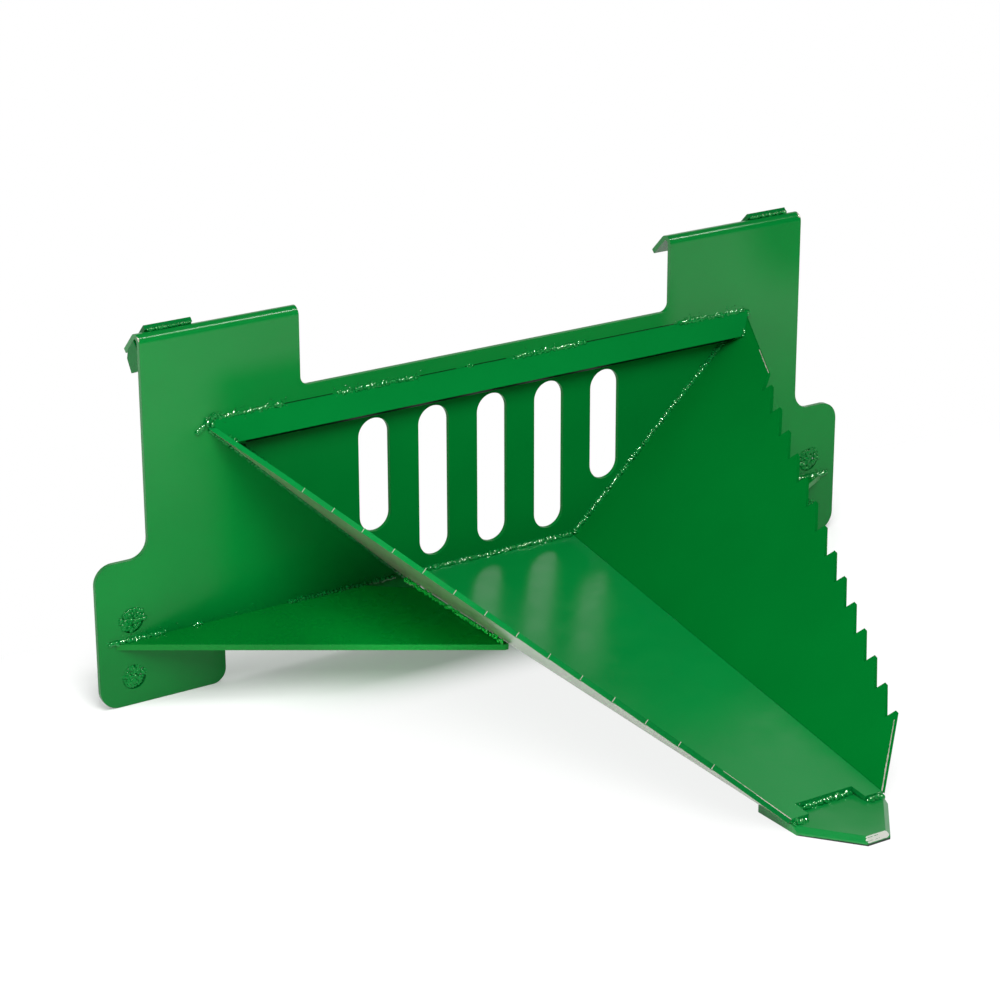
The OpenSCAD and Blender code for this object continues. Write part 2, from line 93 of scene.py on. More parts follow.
def ramp(tree, value, begin, end, low=0.0, high=1.0, kind="SMOOTHSTEP"):
    """Goes from low to high while the value goes from begin to end."""
    node = tree.nodes.new("ShaderNodeMapRange")
    node.interpolation_type = kind
    tree.links.new(value, node.inputs["Value"])
    for label, number in (("From Min", begin), ("From Max", end), ("To Min", low),
                          ("To Max", high)):
        node.inputs[label].default_value = number
    return node.outputs["Result"]


def axes(tree, place):
    """The X, Y and Z sockets of a place."""
    node = tree.nodes.new("ShaderNodeSeparateXYZ")
    tree.links.new(place, node.inputs[0])
    return node.outputs


def white_to_the_eye(tree):
    """A socket that is 1 for what the camera sees directly, mirrored or through glass."""
    path = tree.nodes.new("ShaderNodeLightPath").outputs
    direct = worked(tree, "MAXIMUM", path["Is Camera Ray"], path["Is Glossy Ray"])
    return worked(tree, "MAXIMUM", direct, path["Is Transmission Ray"])


world = bpy.data.worlds.new("studio")
bpy.context.scene.world = world
world.use_nodes = True
sky = world.node_tree
sky.nodes.clear()
# The backdrop stands behind the bucket and ends at about 30 degrees up. Above it and on
# the camera's side the gloss mirrors a dark room.
toward = axes(sky, sky.nodes.new("ShaderNodeTexCoord").outputs["Generated"])
backdrop = worked(sky, "MULTIPLY", ramp(sky, toward["Z"], 0.47, 0.60, low=1.0, high=0.04),
                  ramp(sky, toward["Y"], -0.25, 0.35, low=0.05))
white = sky.nodes.new("ShaderNodeBackground")
white.inputs["Color"].default_value = (1.0, 1.0, 1.0, 1.0)
camera_ray = sky.nodes.new("ShaderNodeLightPath").outputs["Is Camera Ray"]
sky.links.new(worked(sky, "MAXIMUM", backdrop, camera_ray), white.inputs["Strength"])
# The plain light of the room comes mostly from above.
dim = sky.nodes.new("ShaderNodeBackground")
dim.inputs["Color"].default_value = (1.0, 1.0, 1.0, 1.0)
sky.links.new(ramp(sky, toward["Z"], 0.0, 0.9, low=0.10, high=0.46), dim.inputs["Strength"])
sky_mix = sky.nodes.new("ShaderNodeMixShader")
sky_out = sky.nodes.new("ShaderNodeOutputWorld")
sky.links.new(white_to_the_eye(sky), sky_mix.inputs[0])
sky.links.new(dim.outputs[0], sky_mix.inputs[1])
sky.links.new(white.outputs[0], sky_mix.inputs[2])
sky.links.new(sky_mix.outputs[0], sky_out.inputs[0])

# The paper lies a hair under the feet, so that the two never lie in one plane.
paper_half = 16.0
paper_z = -0.0003
floor_mesh = bpy.data.meshes.new("studio_floor")
floor_mesh.from_pydata([(-paper_half, -paper_half, paper_z), (paper_half, -paper_half, paper_z),
                        (paper_half, paper_half, paper_z), (-paper_half, paper_half, paper_z)],
                       [], [(0, 1, 2, 3)])
floor = bpy.data.objects.new("studio_floor", floor_mesh)
bpy.context.scene.collection.objects.link(floor)
paper = bpy.data.materials.new("white_paper")
paper.use_nodes = True
paper_tree = paper.node_tree
paper_tree.nodes.clear()
# Away from the bucket the paper fades to pure white, so that no horizon shows, and it is
# nearly white in front of the bucket, behind the plate and in the gloss too.
spot = paper_tree.nodes.new("ShaderNodeTexCoord").outputs["Object"]
across = axes(paper_tree, spot)
distance = worked_vector(paper_tree, "DISTANCE", spot, (0.0, -0.35, 0.0))
glossy_ray = paper_tree.nodes.new("ShaderNodeLightPath").outputs["Is Glossy Ray"]
whitest = ramp(paper_tree, distance, 0.8, 1.9, low=0.22)
for other in (ramp(paper_tree, across["Y"], 0.05, 0.22),
              ramp(paper_tree, across["Y"], -0.05, -0.20, high=0.86),
              worked(paper_tree, "MULTIPLY", glossy_ray, 0.80)):
    whitest = worked(paper_tree, "MAXIMUM", whitest, other)
matt = paper_tree.nodes.new("ShaderNodeBsdfDiffuse")
matt.inputs["Color"].default_value = (0.9, 0.9, 0.9, 1.0)
glow = paper_tree.nodes.new("ShaderNodeEmission")
glow.inputs["Strength"].default_value = 1.0
paper_mix = paper_tree.nodes.new("ShaderNodeMixShader")
paper_out = paper_tree.nodes.new("ShaderNodeOutputMaterial")
paper_tree.links.new(worked(paper_tree, "MULTIPLY", white_to_the_eye(paper_tree), whitest),
                     paper_mix.inputs[0])
paper_tree.links.new(matt.outputs[0], paper_mix.inputs[1])
paper_tree.links.new(glow.outputs[0], paper_mix.inputs[2])
paper_tree.links.new(paper_mix.outputs[0], paper_out.inputs[0])
floor_mesh.materials.append(paper)

# Lamps: two soft ones, at the front and the left, that the gloss doesn't mirror.
# Four more are each kept to one group: the paper, the sparks on the weld beads, the streak
# on the bends of the back plate, and the beads in the grooves under the bucket's sides.
paper_only = bpy.data.collections.new("paper_only")
beads_only = bpy.data.collections.new("beads_only")
groove_only = bpy.data.collections.new("groove_only")
plate_only = bpy.data.collections.new("plate_only")
paper_only.objects.link(floor)
plate_only.objects.link(cad["back_plate"])


def area_lamp(name, place, aim, size, power, lights="matt", only=None, tint=(1.0, 1.0, 1.0)):
    """A flat lamp. It lights matt surfaces, shows in the gloss, or does both."""
    data = bpy.data.lights.new(name, "AREA")
    data.shape = "RECTANGLE"
    data.size = size[0]
    data.size_y = size[1]
    data.energy = power
    data.color = tint
    lamp = bpy.data.objects.new(name, data)
    bpy.context.scene.collection.objects.link(lamp)
    lamp.location = place
    lamp.rotation_euler = (Vector(aim) - Vector(place)).to_track_quat("-Z", "Y").to_euler()
    lamp.visible_diffuse = lights != "gloss"
    lamp.visible_glossy = lights != "matt"
    if only is not None:
        lamp.light_linking.receiver_collection = only


bucket_middle = (0.0, -0.2, 0.2)
area_lamp("lamp_front", (-0.8, -1.85, 2.15), bucket_middle, (1.4, 1.4), 53.0)
area_lamp("lamp_left", (-3.0, -0.9, 1.3), bucket_middle, (1.4, 1.4), 12.0)
area_lamp("spark_bead", (-0.7, -1.4, 2.8), (0.0, -0.1, 0.2), (0.4, 0.4), 420.0, lights="gloss",
          only=beads_only, tint=(0.82, 1.0, 0.72))
area_lamp("spark_bend", (1.5, -1.06, 2.82), (1.5, 0.0, 0.45), (1.7, 0.12), 42.0, lights="gloss",
          only=plate_only)
area_lamp("lamp_groove", (-1.5, -1.3, 0.75), (-0.14, -0.1, 0.09), (0.3, 0.3), 24.0, lights="both",
          only=groove_only)
area_lamp("lamp_paper", (-0.2, -0.5, 3.2), (-0.1, -0.4, 0.0), (2.2, 2.2), 78.0, only=paper_only)

# Back plate: one laser-cut sheet with two towers, two ears, sight slots and bent hook lips.
# Mild steel under a coat of green gloss, a little clouded and with fine orange peel.
# The gloss is built here once and used for each painted piece in its own tone.
# The tones differ from piece to piece as painted light and shade: the one green is set
# lighter or darker on each piece to match how lit it looks.


def noise(tree, place, scale, detail):
    """Soft noise between 0 and 1, with about so many waves to the metre."""
    node = tree.nodes.new("ShaderNodeTexNoise")
    node.inputs["Scale"].default_value = scale
    node.inputs["Detail"].default_value = detail
    tree.links.new(place, node.inputs["Vector"])
    return node.outputs["Fac"]


def blend(tree, share, first, second):
    """A colour between two, each of them a socket or a plain tone."""
    node = tree.nodes.new("ShaderNodeMix")
    node.data_type = "RGBA"
    tree.links.new(share, node.inputs["Factor"])
    for label, tone in (("A", first), ("B", second)):
        if isinstance(tone, bpy.types.NodeSocket):
            tree.links.new(tone, node.inputs[label])
        else:
            node.inputs[label].default_value = (*tone, 1.0)
    return node.outputs["Result"]


def marks(tree, place, strokes):
    """A mask of ragged strokes, each (one end, other end, radius, raggedness) in metres."""
    flake = noise(tree, place, 330.0, 3.0)
    marked = 0.0
    for one_end, other_end, radius, ragged in strokes:
        start = Vector(one_end)
        span = Vector(other_end) - start
        off = worked_vector(tree, "SUBTRACT", place, start)
        dot = worked_vector(tree, "DOT_PRODUCT", off, span / max(span.length_squared, 1e-12))
        along = tree.nodes.new("ShaderNodeClamp")
        tree.links.new(dot, along.inputs["Value"])
        foot = worked_vector(tree, "MULTIPLY", span, along.outputs[0])
        away = worked_vector(tree, "DISTANCE", off, foot)
        jag = worked(tree, "MULTIPLY_ADD", flake, radius * ragged, away)
        inside = worked(tree, "LESS_THAN", jag, radius * (1.0 + 0.45 * ragged))
        marked = worked(tree, "MAXIMUM", marked, inside)
    return marked


def gloss_paint(name, tone, rough=0.26, cloud=0.06, peel=0.06, chips=(), rub=0.0008, bend=1.40,
                sheen=0.5, painted_shade=(), fine=260.0, turn=None, metal_tone=(0.66, 0.62, 0.53)):
    """Green gloss on steel, with strokes where it is chipped bare and strokes of painted shade.

    Peel and fine are the depth and the fineness of its bumps, rub is how round the edges
    look, and bend and sheen say how strongly it mirrors.
    A turn is (axis, distance from the middle where it begins, where it is full, second tone). Its
    second tone is painted light where it is lighter and painted shade where it is darker.
    """
    made = bpy.data.materials.new(name)
    made.use_nodes = True
    tree = made.node_tree
    shader = tree.nodes["Principled BSDF"]
    place = tree.nodes.new("ShaderNodeTexCoord").outputs["Object"]

    low = [part * (1.0 - cloud * 2.0) for part in tone]
    high = [part * (1.0 + cloud * 2.0) for part in tone]
    colour = blend(tree, noise(tree, place, 7.0, 3.0), low, high)
    # A second tone over part of the piece: painted light where it is lighter, painted shade where
    # it is darker.
    if turn:
        axis, begin, full, second_tone = turn
        outward = worked(tree, "ABSOLUTE", axes(tree, place)[axis])
        colour = blend(tree, ramp(tree, outward, begin, full), colour, second_tone)
    # Dark strokes of painted shade, nearly black green.
    if painted_shade:
        painted_shade_tone = (0.0, 0.012, 0.003)
        colour = blend(tree, marks(tree, place, painted_shade), colour, painted_shade_tone)
    if chips:
        bare = marks(tree, place, chips)
        colour = blend(tree, bare, colour, metal_tone)
        tree.links.new(worked(tree, "MULTIPLY", bare, 0.3), shader.inputs["Metallic"])
    tree.links.new(colour, shader.inputs["Base Color"])

    skin = noise(tree, place, 28.0, 2.0)
    tree.links.new(ramp(tree, skin, 0.3, 0.7, rough - 0.04, rough + 0.05, kind="LINEAR"),
                   shader.inputs["Roughness"])
    edge = tree.nodes.new("ShaderNodeBevel")
    edge.samples = 4
    edge.inputs["Radius"].default_value = rub
    bump = tree.nodes.new("ShaderNodeBump")
    bump.inputs["Strength"].default_value = peel
    bump.inputs["Distance"].default_value = 0.0006
    tree.links.new(noise(tree, place, fine, 2.0), bump.inputs["Height"])
    tree.links.new(edge.outputs[0], bump.inputs["Normal"])
    tree.links.new(bump.outputs[0], shader.inputs["Normal"])
    shader.inputs["IOR"].default_value = bend
    shader.inputs["Specular IOR Level"].default_value = sheen
    return made


def coat(node, finish):
    """Puts one finish on a solid of the frame."""
    mesh = cad[node].data
    if len(mesh.materials):
        for number in range(len(mesh.materials)):
            mesh.materials[number] = finish
    else:
        mesh.materials.append(finish)
    for held in cad[node].material_slots:
        held.link = "DATA"


# A dark line of painted shade lies in the crevice over the cross bar between its beads, and the
# towers are chipped at their upper corners. The ears are darker towards the ground: painted shade.
bar_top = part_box("cross_bar")[1][2]
crevice_z = bar_top + 0.0004
crevice_shade = []
for first, last in ((-0.312, -0.236), (-0.128, -0.055), (-0.040, 0.021), (0.146, 0.288)):
    crevice_shade.append(((first, 0.0, crevice_z), (last, 0.0, crevice_z), 0.0007, 0.6))
tower_chips = (
    ((-0.2812, 0.001, 0.4655), (-0.2806, 0.004, 0.4690), 0.0009, 0.9),
    ((0.4975, 0.002, 0.4660), (0.4985, 0.006, 0.4700), 0.0022, 0.9),
    ((-0.4983, 0.001, 0.4640), (-0.4983, 0.004, 0.4670), 0.0013, 0.9))
# Painted shade: the crevice line, and the darker tone low down on the plate.
plate_paint = gloss_paint("plate_gloss", (0.0006, 0.212, 0.031), rough=0.19, painted_shade=crevice_shade,
                          chips=tower_chips, turn=("Z", 0.16, 0.04, (0.0005, 0.160, 0.024)))
# The gloss is duller over the middle of the plate than on the towers, a little duller low
# down on the ears, and it mirrors less at the upper outer corner of the right tower.
plate_tree = plate_paint.node_tree
plate_place = plate_tree.nodes.new("ShaderNodeTexCoord").outputs["Object"]
plate_axes = axes(plate_tree, plate_place)
middle = ramp(plate_tree, plate_axes["X"], -0.43, -0.37)
for axis, first, last in (("X", 0.30, 0.26), ("Z", 0.425, 0.385)):
    middle = worked(plate_tree, "MULTIPLY", middle,
                    ramp(plate_tree, plate_axes[axis], first, last))
mirror_level = ramp(plate_tree, middle, 0.0, 1.0, low=0.5, high=0.08, kind="LINEAR")
from_corner = worked_vector(plate_tree, "DISTANCE", plate_place, (0.50, 0.0, 0.47))
for share in (ramp(plate_tree, plate_axes["Z"], 0.36, 0.18, low=1.0, high=0.50),
              ramp(plate_tree, from_corner, 0.05, 0.13, low=0.25)):
    mirror_level = worked(plate_tree, "MULTIPLY", mirror_level, share)
plate_tree.links.new(mirror_level,
                     plate_tree.nodes["Principled BSDF"].inputs["Specular IOR Level"])
coat("back_plate", plate_paint)

# Bucket: floor and two saw-toothed sides cut from the same sheet, welded to the back plate.
# The green gloss lies over it, rubbed bare on the inner edge of the long last tooth.
# The right-hand side is given by three corners of its inner face, the left is its mirror.
rear_corner = Vector((0.1278, 0.0, 0.0844))
front_corner = Vector((0.0656, -0.7200, 0.0160))
top_corner = Vector((0.4075, 0.0, 0.3432))
sheet = 0.00635
fold = (front_corner - rear_corner).normalized()
out_of_side = (top_corner - rear_corner).cross(fold).normalized()
up_side = fold.cross(out_of_side)
teeth = 14
tooth_pitch = 0.04705
tooth_fall = math.radians(22.65)
first_tip = (0.0918, 0.3185)
short_tip = (0.069, 0.3302)


def on_side(along, high, outward=0.0):
    """A point of the right-hand side: along its fold, up its face, and out of it."""
    return rear_corner + fold * along + up_side * high + out_of_side * outward


def tooth_tip(number, outward=0.0):
    """The tip of one tooth of the right-hand side, counted from the back plate."""
    reach = number * tooth_pitch
    return on_side(first_tip[0] + reach * math.cos(tooth_fall),
                   first_tip[1] - reach * math.sin(tooth_fall), outward)


def mirrored(point):
    """The same point of the left half."""
    return Vector((-point[0], point[1], point[2]))


last_tip = tooth_tip(teeth - 1)
lower_rub = (last_tip.lerp(front_corner, 0.55), front_corner)
upper_rub = (last_tip.lerp(front_corner, 0.12), last_tip.lerp(front_corner, 0.6))
short_end = on_side(*short_tip)
just_out = out_of_side * 0.001
short_rub = (top_corner.lerp(short_end, 0.62) + just_out, short_end + just_out)
side_right_paint = gloss_paint("side_right_gloss", (0.0004, 0.183, 0.023), rough=0.27, sheen=0.0,
                               chips=((*lower_rub, 0.0011, 1.7), (*upper_rub, 0.0007, 1.5),
                                      (*short_rub, 0.0011, 1.0)))
# The left side is rubbed on the long tooth too, and each of its teeth has a fine bare line
# over its tip: wear, and a painted highlight along the tip's edge. It is darker towards the
# point, painted shade.
left_wear_and_glints = [(mirrored(lower_rub[0]), mirrored(lower_rub[1]), 0.0010, 1.0),
              (mirrored(upper_rub[0]), mirrored(upper_rub[1]), 0.0006, 1.5)]
for number in range(teeth):
    left_wear_and_glints.append((mirrored(tooth_tip(number)), mirrored(tooth_tip(number, sheet)),
                       0.0009, 0.5))
# The turn towards the point is painted shade.
side_left_paint = gloss_paint("side_left_gloss", (0.0006, 0.260, 0.046), rough=0.20, peel=0.02,
                              chips=left_wear_and_glints, turn=("Y", 0.22, 0.64, (0.0004, 0.150, 0.026)))
# From a flat angle its outer face shows a pale beige sheen, a painted reflection of the floor.
painted_reflection = side_left_paint.node_tree.nodes["Principled BSDF"]
painted_reflection.inputs["Sheen Weight"].default_value = 0.45
painted_reflection.inputs["Sheen Roughness"].default_value = 0.2
painted_reflection.inputs["Sheen Tint"].default_value = (1.0, 0.86, 0.66, 1.0)
floor_paint = gloss_paint("floor_gloss", (0.0010, 0.255, 0.045), rough=0.22, peel=0.02, bend=1.56)
coat("side_right", side_right_paint)
coat("side_left", side_left_paint)
coat("floor_plate", floor_paint)

# Cutting point: a thick flat plate with a blunt nose, bevelled by grinding and welded under
# the floor. The paint has gone from the bevel of the nose, its left rim is chipped, and
# a dark line of painted shade lies along the foot of the nose and of both flanks.
point_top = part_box("point_plate")[1][2]
nose_left = -0.0148
nose_right = 0.0120
point_chips = []
for y, z, radius, ragged in ((-0.7901, 0.0088, 0.0009, 0.5), (-0.7924, 0.0065, 0.0020, 1.1),
                             (-0.7946, 0.0043, 0.0011, 0.5)):
    point_chips.append(((nose_left, y, z), (nose_right, y, z), radius, ragged))
point_chips.append(((0.0050, -0.7924, 0.0065), (0.0122, -0.7924, 0.0065), 0.0038, 0.2))
point_chips.append(((-0.0650, -0.7295, point_top), (-0.0420, -0.7560, point_top), 0.0006, 1.5))
nose_y = -0.7954
# Dark lines of painted shade along the foot of the nose and of the flanks.
point_foot_shade = [((-0.0155, nose_y, 0.0006), (0.0155, nose_y, 0.0006), 0.0019, 0.5)]
for mark in (-1.0, 1.0):
    point_foot_shade.append(((mark * 0.0640, -0.7320, 0.0004), (mark * 0.0165, nose_y, 0.0004),
                        0.0013, 0.9))
point_paint = gloss_paint("point_gloss", (0.0010, 0.225, 0.038), rough=0.30, bend=1.45,
                          chips=point_chips, painted_shade=point_foot_shade, metal_tone=(0.78, 0.80, 0.72))
coat("point_plate", point_paint)

# Cross bar and two gussets: flat bar and triangular plates that stiffen the bucket.
# The same gloss lies on them; they are only tacked or welded over part of their length.
# A dark line of painted shade lies on the cut edge along the foot of the bar.
bar_foot_shade = ((-0.37, -0.0239, 0.3209), (0.37, -0.0239, 0.3209), 0.0029, 0.25)
bar_paint = gloss_paint("bar_gloss", (0.0006, 0.200, 0.031), rough=0.30, sheen=0.03,
                        painted_shade=(bar_foot_shade,))
# The gussets are painted lighter towards the bucket: painted light where the leaning side keeps the
# lamps off.
gusset_painted_light = gloss_paint("gusset_gloss_painted_light", (0.0006, 0.195, 0.022), rough=0.28, peel=0.03,
                           sheen=0.25, turn=("X", 0.36, 0.19, (0.0006, 0.430, 0.050)))
coat("cross_bar", bar_paint)
coat("gusset_left", gusset_painted_light)
coat("gusset_right", gusset_painted_light)

# Hook pads, hook ends and pin lugs: small cut plates that meet the loader's carrier.
# Plain gloss without chips, since they are hidden behind the towers and ears.
small_paint = gloss_paint("small_plate_gloss", (0.0006, 0.165, 0.028), rough=0.28, sheen=0.10)
for small in ("lip_pad", "hook_gusset", "pin_lug"):
    coat(small + "_left", small_paint)
    coat(small + "_right", small_paint)

# Weld beads round the bucket, inside along the back plate and outside along its corners.
# Each bead is laid as a row of overlapping ripples, the way the wire puts them down, and the
# gloss over it keeps a bright spark on every ripple.
weld_paint = gloss_paint("weld_gloss", (0.0010, 0.205, 0.034), rough=0.14, cloud=0.10, peel=0.7,
                         rub=0.0003, bend=1.44, fine=520.0)


def random_vector(tree, seed, low, high):
    """A socket with a random vector for each point."""
    node = tree.nodes.new("FunctionNodeRandomValue")
    node.data_type = "FLOAT_VECTOR"
    tree.links.new(seed, node.inputs["Seed"])
    node.inputs["Min"].default_value = low
    node.inputs["Max"].default_value = high
    return node.outputs[0]


def set_on_points(tree, points, shape, scale, finish, turned=None):
    """Ends a tree: a smooth copy of the shape on every point, made real and painted."""
    add = tree.nodes.new
    join = tree.links.new
    rows = add("GeometryNodeInstanceOnPoints")
    join(points, rows.inputs["Points"])
    join(shape, rows.inputs["Instance"])
    join(scale, rows.inputs["Scale"])
    if turned is not None:
        join(turned, rows.inputs["Rotation"])
    real = add("GeometryNodeRealizeInstances")
    join(rows.outputs[0], real.inputs[0])
    smooth = add("GeometryNodeSetShadeSmooth")
    join(real.outputs[0], smooth.inputs[0])
    painted = add("GeometryNodeSetMaterial")
    join(smooth.outputs[0], painted.inputs["Geometry"])
    join(finish, painted.inputs["Material"])
    done = add("NodeGroupOutput")
    join(painted.outputs[0], done.inputs[0])


def ripple_tree():
    """Nodes that set overlapping ripples along a path whose points know where they face."""
    made = bpy.data.node_groups.new("weld_ripples", "GeometryNodeTree")
    for label, kind in (("Path", "Geometry"), ("Pitch", "Float"), ("Half Length", "Float"),
                        ("Half Width", "Float"), ("Half Height", "Float"), ("Wander", "Float"),
                        ("Lean", "Float"), ("Seed", "Int"), ("Finish", "Material")):
        made.interface.new_socket(label, in_out="INPUT", socket_type="NodeSocket" + kind)
    made.interface.new_socket("Bead", in_out="OUTPUT", socket_type="NodeSocketGeometry")
    add = made.nodes.new
    join = made.links.new
    given = add("NodeGroupInput")
    to_curve = add("GeometryNodeMeshToCurve")
    join(given.outputs["Path"], to_curve.inputs[0])
    spaced = add("GeometryNodeResampleCurve")
    spaced.mode = "LENGTH"
    join(to_curve.outputs[0], spaced.inputs["Curve"])
    join(given.outputs["Pitch"], spaced.inputs["Length"])
    shift = random_vector(made, given.outputs["Seed"], (-1.0, -1.0, -1.0), (1.0, 1.0, 1.0))
    sway = worked_vector(made, "MULTIPLY", shift, given.outputs["Wander"])
    moved = add("GeometryNodeSetPosition")
    join(spaced.outputs[0], moved.inputs["Geometry"])
    join(sway, moved.inputs["Offset"])

    # Each ripple stands out of the corner, points along the path and leans back a little.
    facing = add("GeometryNodeInputNamedAttribute")
    facing.data_type = "FLOAT_VECTOR"
    facing.inputs["Name"].default_value = "facing"
    stand = add("FunctionNodeAlignRotationToVector")
    stand.axis = "Z"
    join(facing.outputs["Attribute"], stand.inputs["Vector"])
    tangent = add("GeometryNodeInputTangent")
    turn = add("FunctionNodeAlignRotationToVector")
    turn.axis = "X"
    turn.pivot_axis = "Z"
    join(stand.outputs[0], turn.inputs["Rotation"])
    join(tangent.outputs[0], turn.inputs["Vector"])
    lean_by = add("ShaderNodeCombineXYZ")
    join(given.outputs["Lean"], lean_by.inputs["Y"])
    to_turn = add("FunctionNodeEulerToRotation")
    join(lean_by.outputs[0], to_turn.inputs[0])
    lean = add("FunctionNodeRotateRotation")
    lean.rotation_space = "LOCAL"
    join(turn.outputs[0], lean.inputs["Rotation"])
    join(to_turn.outputs[0], lean.inputs["Rotate By"])

    size = add("ShaderNodeCombineXYZ")
    join(given.outputs["Half Length"], size.inputs["X"])
    join(given.outputs["Half Width"], size.inputs["Y"])
    join(given.outputs["Half Height"], size.inputs["Z"])
    size_seed = worked(made, "ADD", given.outputs["Seed"], 17.0)
    vary = random_vector(made, size_seed, (0.65, 0.60, 0.60), (1.25, 1.20, 1.30))
    drop = add("GeometryNodeMeshIcoSphere")
    drop.inputs["Radius"].default_value = 1.0
    drop.inputs["Subdivisions"].default_value = 2
    set_on_points(made, moved.outputs[0], drop.outputs["Mesh"],
                  worked_vector(made, "MULTIPLY", size.outputs[0], vary),
                  given.outputs["Finish"], turned=lean.outputs[0])
    return made


ripples = ripple_tree()


def weld_piece(mesh, tree, values, node=None):
    """A piece made by a tree on a mesh, plain from here on, and the solid it stands for."""
    piece = bpy.data.objects.new(mesh.name, mesh)
    bpy.context.scene.collection.objects.link(piece)
    modifier = piece.modifiers.new("made", "NODES")
    modifier.node_group = tree
    for item in tree.interface.items_tree:
        if item.item_type == "SOCKET" and item.in_out == "INPUT" and item.name in values:
            modifier[item.identifier] = values[item.name]
    bpy.context.view_layer.update()
    evaluated = piece.evaluated_get(bpy.context.evaluated_depsgraph_get())
    plain = bpy.data.meshes.new_from_object(evaluated)
    plain.name = piece.name
    piece.modifiers.clear()
    piece.data = plain
    if "facing" in plain.attributes:
        plain.attributes.remove(plain.attributes["facing"])
    beads_only.objects.link(piece)
    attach(piece, "root")
    if node:
        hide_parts(node)
    return piece


def lay_bead(name, runs, leg, node, pitch=0.0030, wander=0.0004, seed=1, wide=0.85, high=0.5,
             long=0.55, finish=weld_paint):
    """One weld piece. Each run is a list of (point, direction out of the corner)."""
    points = []
    edges = []
    facing = []
    for run in runs:
        for number, (point, out) in enumerate(run):
            if number:
                edges.append((len(points) - 1, len(points)))
            points.append(point)
            facing.append(out.normalized())
    mesh = bpy.data.meshes.new(name)
    mesh.from_pydata(points, edges, [])
    held = mesh.attributes.new("facing", "FLOAT_VECTOR", "POINT")
    held.data.foreach_set("vector", [number for out in facing for number in out])
    return weld_piece(mesh, ripples, {
        "Pitch": pitch, "Half Length": max(long * leg, 0.8 * pitch), "Half Width": wide * leg,
        "Half Height": high * leg, "Wander": wander, "Lean": -0.5, "Seed": seed,
        "Finish": finish}, node)


def corner_run(start, end, first_out, second_out, leg, sit=0.3):
    """A straight run in the corner of two faces, given by the way each face looks."""
    out = (first_out + second_out).normalized()
    return [(start + out * (sit * leg), out), (end + out * (sit * leg), out)]


def mirrored_runs(runs):
    """The same runs on the left half."""
    return [[(mirrored(point), mirrored(out)) for point, out in run] for run in runs]


def lay_pair(name, runs, leg, node, seeds, **sizes):
    """The right half's bead and its mirror image, two pieces with a seed each."""
    pieces = []
    for side, seed in seeds:
        side_runs = runs if side == "right" else mirrored_runs(runs)
        side_node = node + "_" + side if node else None
        pieces.append(lay_bead(name + "_" + side, side_runs, leg, side_node, seed=seed, **sizes))
    return pieces


inside_leg = 0.0075
to_front = Vector((0.0, -1.0, 0.0))
vee = (top_corner - rear_corner).normalized()
floor_fall = math.radians(5.43)
floor_up = Vector((0.0, -math.sin(floor_fall), math.cos(floor_fall)))
floor_inset = Vector((0.004, 0.0, 0.0))
vee_run = corner_run(rear_corner + vee * 0.004, top_corner - vee * 0.048, to_front, -out_of_side,
                     inside_leg)
floor_run = corner_run(mirrored(rear_corner) + floor_inset, rear_corner - floor_inset, to_front,
                       floor_up, inside_leg)
lay_bead("bead_inside", [vee_run] + mirrored_runs([vee_run]) + [floor_run], inside_leg,
         "shell_weld", pitch=0.0021, wander=0.0012, seed=3, wide=0.62, high=0.40, long=0.34)

outer_leg = 0.0046
plate_step = sheet / math.sqrt(1.0 - out_of_side.y ** 2)
down_out = Vector((vee.z, 0.0, -vee.x)).normalized()
outer_foot = rear_corner + down_out * plate_step
outer_run = corner_run(outer_foot + vee * 0.006, outer_foot + vee * 0.376, to_front, out_of_side,
                       outer_leg)
lay_pair("bead_outside", [outer_run], outer_leg, "vee_weld", (("left", 5), ("right", 6)),
         pitch=0.0034, wander=0.0006)

# The seam between floor and side runs along the fold, on the outside of the corner.
seam_leg = 0.0050
seam_out = (out_of_side - floor_up).normalized()
seam_lift = seam_out * 0.0034
seam_run = [(rear_corner + seam_lift + fold * 0.004, seam_out),
            (front_corner + seam_lift - fold * 0.002, seam_out)]
lay_pair("seam_bead", [seam_run], seam_leg, "seam_weld", (("right", 8), ("left", 9)),
         wander=0.0002, wide=0.56, high=0.40)

# Beads on the cross bar: short runs along its upper edge and one at each end of the bar.
# They are rough and full of small lumps, since they were laid quickly from above, and
# drops of spatter lie round them.


def drop_tree():
    """Nodes that set a small round drop of its own size on every point."""
    made = bpy.data.node_groups.new("weld_drops", "GeometryNodeTree")
    for label, kind in (("Points", "Geometry"), ("Radius", "Float"), ("Seed", "Int"),
                        ("Finish", "Material")):
        made.interface.new_socket(label, in_out="INPUT", socket_type="NodeSocket" + kind)
    made.interface.new_socket("Drops", in_out="OUTPUT", socket_type="NodeSocketGeometry")
    given = made.nodes.new("NodeGroupInput")
    ball = made.nodes.new("GeometryNodeMeshIcoSphere")
    ball.inputs["Subdivisions"].default_value = 2
    made.links.new(given.outputs["Radius"], ball.inputs["Radius"])
    vary = random_vector(made, given.outputs["Seed"], (0.5, 0.5, 0.4), (1.6, 1.4, 1.3))
    set_on_points(made, given.outputs["Points"], ball.outputs["Mesh"], vary,
                  given.outputs["Finish"])
    return made


drops = drop_tree()
drop_radius = 0.0009


def spatter(name, bands, seed):
    """Drops beside a bead. Each band is (start, end, way off the bead, how many)."""
    chance = random.Random(seed)
    points = []
    for start, end, away, count in bands:
        for _ in range(count):
            points.append(start.lerp(end, chance.random()) + away * chance.random() ** 2)
    mesh = bpy.data.meshes.new(name)
    mesh.from_pydata(points, [], [])
    weld_piece(mesh, drops, {"Radius": drop_radius, "Seed": seed, "Finish": weld_paint})


def bar_point(x):
    """A point of the line where the bar's upper edge meets the back plate."""
    return Vector((x, 0.0, bar_top))


